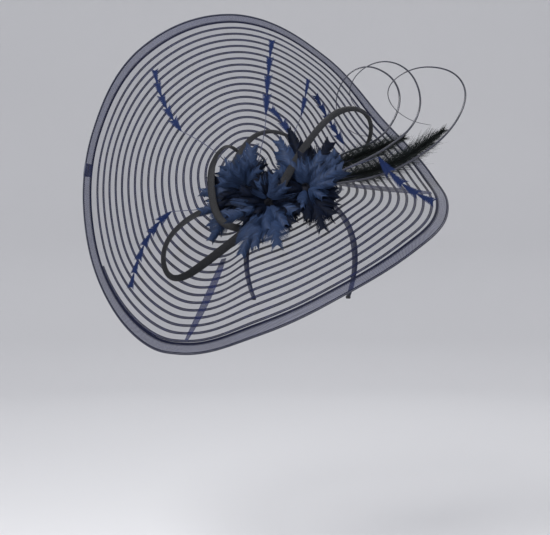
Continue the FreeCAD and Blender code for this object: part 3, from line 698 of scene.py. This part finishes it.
# ---- sinamay loops ------------------------------------------------------------------------
LOOPS = {
    "loop_lower_left": (10.5, (0, 0, 5, 20, 42, 50, 50, 45, 40), [
        (-57, 89, 112), (-74, 74, 106), (-114, 44, 84), (-140, 25, 74), (-158, 26, 68),
        (-166, 45, 62), (-163, 68, 58), (-147, 89, 56), (-126, 103, 56), (-104, 112, 56)]),
    "loop_left": (9.5, (0, 0, 0, 10, 20, 50, 62, 50), [
        (-64, 82, 104), (-74, 84, 98), (-92, 86, 90), (-104, 106, 82), (-108, 134, 77),
        (-108, 160, 64), (-99, 181, 42), (-88, 187, 28), (-78, 180, 18)]),
    "loop_top": (8.0, (0, 15, 40, 50), [
        (-86, 150, 62), (-79, 168, 56), (-66, 190, 43), (-50, 203, 28), (-30, 205, 16),
        (-16, 198, 16)]),
    "loop_upper_right": (10.0, (0, 0, 10, 30, 30, 25, 45, 55, 60), [
        (-38, 110, 114), (-30, 122, 130), (-16, 150, 102), (4, 184, 80), (26, 214, 42),
        (48, 232, 8), (68, 236, -10), (83, 228, -18), (88, 210, -16), (82, 190, -6),
        (72, 176, 6)]),
}
RIB_PITCH, POINT_SPACING, END_PINCH, PINCH_LENGTH = 2.2, 0.55, 0.18, 9
for name, (width, twist, route) in LOOPS.items():
    length = curve(route, 50)[1]
    path, _ = curve(route, int(length / POINT_SPACING))
    run = np.linspace(0, length, len(path))
    roll = np.interp(run, np.linspace(0, length, len(twist)), twist)
    tangent, side, normal = rolled(path, roll[:, None])
    turn = np.linspace(0, 2 * np.pi, 24, endpoint=False)
    x = np.sign(np.cos(turn)) * np.abs(np.cos(turn)) ** 0.7
    z = np.sin(turn)
    rib = 0.5 + 0.16 * np.sin(2 * np.pi * run / RIB_PITCH)[:, None] + 0.06 * np.sin(9 * x)[None, :]
    fold = 1.1 * (x[None, :] ** 2)
    half = width / 2 * (0.95 + 0.03 * np.sin(2 * np.pi * run / RIB_PITCH)
                        - END_PINCH * np.exp(-run / PINCH_LENGTH)
                        - END_PINCH * np.exp(-(length - run) / PINCH_LENGTH))
    points = (path[:, None] + (half[:, None] * x[None, :])[..., None] * side[:, None]
              + (z[None, :] * rib - fold * 0.45)[..., None] * normal[:, None])
    uv = np.stack([run[:, None] + 0 * rib, x[None, :] * half[:, None]], -1)
    Sheaf().grid(points, uv, close_cols=True, caps=True).make(
        name + "_weave", SINAMAY, "headpiece", [name], "sinamay_loop")

# ---- arrow-cut feathers -------------------------------------------------------------------
# stem points, vane points, vane width, number of arrowheads
ARROWS = {
    1: ([(-71, 138, 60), (-92, 172, 36), (-118, 190, 17), (-147, 205, 6)],
        [(-147, 205, 6), (-169, 233, -8), (-178, 259, -16), (-182, 283, -22)], 13, 5),
    2: ([(-60, 138, 60), (-49, 176, 50), (-44, 205, 34), (-44, 224, 14)],
        [(-44, 224, 14), (-43, 250, 4), (-42, 276, -6), (-37, 321, -28)], 12, 4),
    3: ([(-73, 125, 60), (-94, 106, 54), (-128, 108, 42), (-157, 106, 32)],
        [(-157, 106, 32), (-184, 87, 26), (-196, 60, 30), (-205, 16, 39)], 12, 6),
    4: ([(-37, 121, 88), (-26, 160, 78), (-14, 190, 54), (-2, 220, 22)],
        [(-2, 220, 22), (4, 246, 0), (8, 271, -18)], 8, 2),
    5: ([(9, 140, 72), (34, 160, 24), (55, 178, -20), (53, 193, -34)],
        [(53, 193, -34), (32, 227, -36), (18, 253, -32)], 13, 5),
    6: ([(13, 136, 85), (40, 150, 74), (62, 160, 70), (88, 168, 68)],
        [(88, 168, 68), (100, 149, 70), (116, 130, 76), (149, 115, 86)], 16, 4),
    7: ([(3, 141, 76), (-2, 164, 52), (-6, 184, 34), (-12, 195, 24)],
        [(-12, 195, 24), (-21, 213, 18), (-37, 231, 14)], 13, 2),
}
for number, (stem, vane, width, heads) in ARROWS.items():
    body = "feather_" + str(number)
    node_name = "arrow_feather_" + str(number)
    rng = np.random.default_rng(80 + number)
    path, _ = curve(stem, 60)
    tube(Sheaf(), path, np.linspace(0.65, 0.4, 60), 8).make(
        node_name + "_rachis", STEM, body, [node_name + "_stem"], "feather_quill")

    def arrowheads(s):
        return (0.12 + 0.88 * ((s * heads * 0.999) % 1.0) ** 0.9) * (1.15 - 0.4 * s)

    feather(Sheaf(), rng, vane, arrowheads, width, spacing=0.6, sweep=0.75, ragged=0.03,
            by_root=True, cup=0.04, rachis=0.4, start=0.0).make(
        node_name + "_blade", ARROW, body, [node_name + "_vane"], "arrow_vane")

# ---- plumes -------------------------------------------------------------------------------
PLUMES = {
    "plume_lower": ([(13, 135, 74), (32, 140, 62), (52, 146, 52), (70, 149, 46)],
                    [(70, 149, 46), (100, 158, 36), (132, 174, 24), (172, 206, 10)], 24),
    "plume_upper": ([(12, 138, 70), (30, 154, 48), (48, 164, 30), (62, 170, 26)],
                    [(62, 170, 26), (92, 181, 18), (124, 197, 6)], 24),
}
for seed, (name, (stem, vane, width)) in enumerate(PLUMES.items()):
    rng = np.random.default_rng(120 + seed)
    path, _ = curve(stem, 40)
    tube(Sheaf(), path, np.linspace(0.95, 0.7, 40), 8).make(
        name + "_rachis", STEM, name, [name + "_stem"], "feather_quill")

    def plume_outline(s):
        return np.interp(s, (0, 0.3, 0.6, 0.88, 1), (0.3, 0.95, 0.9, 0.7, 0.3))

    down = Sheaf()
    for roll in (-75, -45, -15, 15, 45, 75):
        feather(down, rng, stem[1:] + vane[1:], plume_outline, width, spacing=0.62, sweep=1.9,
                ragged=0.32, fluff=0.35, barb=0.5, roll=roll, cup=0.0, point=0.6,
                rachis=0.7 if roll == 15 else 0)
    down.make(name + "_fluff", PLUME, name, [name + "_barbs"], "plume_barbs")

# ---- curled quills ------------------------------------------------------------------------
QUILL_POINTS = 260
QUILLS = {
    "curled_quill_1": [
        (11, 139, 77), (24, 158, 50), (42, 174, 24), (64, 182, 14), (87, 191, 9), (105, 206, 6),
        (118, 230, 2), (121, 251, -1), (113, 270, -4), (99, 281, -7), (82, 288, -10),
        (63, 283, -13), (50, 270, -16), (42, 250, -19), (43, 231, -22), (54, 212, -25),
        (72, 201, -28), (92, 203, -31)],
    "curled_quill_2": [
        (13, 137, 80), (46, 153, 62), (82, 170, 48), (102, 183, 38), (120, 196, 32),
        (134, 211, 28), (142, 230, 26), (142, 249, 25), (134, 269, 26), (120, 282, 26),
        (103, 288, 24), (85, 286, 21), (68, 276, 18), (58, 261, 17), (56, 245, 16), (66, 229, 16),
        (88, 220, 14)],
    "curled_quill_3": [
        (14, 134, 81), (50, 138, 70), (88, 145, 60), (120, 160, 48), (147, 177, 40),
        (166, 192, 36), (182, 210, 33), (193, 230, 30), (197, 248, 28), (192, 264, 26),
        (179, 276, 24), (160, 281, 22), (140, 281, 20), (121, 274, 18), (107, 263, 15),
        (102, 250, 13), (108, 235, 11), (122, 223, 8), (139, 215, 5), (157, 213, 2)],
}
for name, route in QUILLS.items():
    path, _ = curve(route, QUILL_POINTS)
    s = np.linspace(0, 1, QUILL_POINTS)
    taper = np.interp(s, (0, 0.3, 0.55, 0.8, 1), (1.2, 1.3, 1.15, 0.65, 0.25))
    tube(Sheaf(), path, taper, 8).make(name + "_stripped", QUILL, name, [name], "curled_quill")

# ---- studio -------------------------------------------------------------------------------
def pale(name, color):
    material, tree, shader = nodes_of(name, 0.9, specular=0.1)
    value = streaks(tree, (1, 1, 1), "Object")
    shade = ramp(tree, value, [c * 0.985 for c in color], color)
    tree.links.new(shade, shader.inputs["Base Color"])
    return material


FLOOR_Z = -0.36
PAPER = (0.72, 0.72, 0.73)
profile = [(0.01, FLOOR_Z), (1.5, FLOOR_Z), (2.6, FLOOR_Z), (3.3, FLOOR_Z + 0.12),
           (3.8, FLOOR_Z + 0.5), (4.05, FLOOR_Z + 1.1), (4.1, FLOOR_Z + 2.6)]
turn = np.linspace(0, 2 * np.pi, 96, endpoint=False)
rows = np.array([[(r * math.cos(a) * 1000, r * math.sin(a) * 1000, z * 1000) for a in turn]
                 for r, z in profile])
studio = Sheaf().grid(rows, close_cols=True).make(
    "studio_floor", pale("studio_paper", PAPER), None, in_row=True)


def area_light(name, place, aim, size, power):
    data = bpy.data.lights.new(name, "AREA")
    data.shape, data.size, data.energy = "DISK", size, power
    lamp = bpy.data.objects.new(name, data)
    lamp.location = place
    direction = np.array(aim) - np.array(place)
    lamp.rotation_euler = Vector(direction).to_track_quat("-Z", "Y").to_euler()
    lamp.visible_camera = False
    bpy.context.scene.collection.objects.link(lamp)


WORLD_COLOR, WORLD_STRENGTH = (0.93, 0.94, 1.0, 1), 0.64
CAMERA_PLACE, CAMERA_LENS, SENSOR_WIDTH = (-0.7926, -1.3068, 0.039), 81.8, 36.0
middle = (-0.06, 0.0, 0.14)
area_light("key", (-1.05, -0.7, 1.05), middle, 0.5, 26)
area_light("fill", (0.5, -2.3, 1.0), middle, 1.6, 18)
area_light("back", (1.2, 1.8, 2.0), middle, 1.6, 16)
bpy.context.scene.view_settings.view_transform = "Standard"
world = bpy.data.worlds.new("studio")
world.use_nodes = True
world.node_tree.nodes["Background"].inputs["Color"].default_value = WORLD_COLOR
world.node_tree.nodes["Background"].inputs["Strength"].default_value = WORLD_STRENGTH
bpy.context.scene.world = world

camera_data = bpy.data.cameras.new("camera")
camera_data.sensor_width = SENSOR_WIDTH
camera_data.lens = CAMERA_LENS
camera = bpy.data.objects.new("camera", camera_data)
camera.location = CAMERA_PLACE
camera.rotation_euler = (math.radians(90), 0, math.atan2(-0.5, 0.8660254))
bpy.context.scene.collection.objects.link(camera)
bpy.context.scene.camera = camera
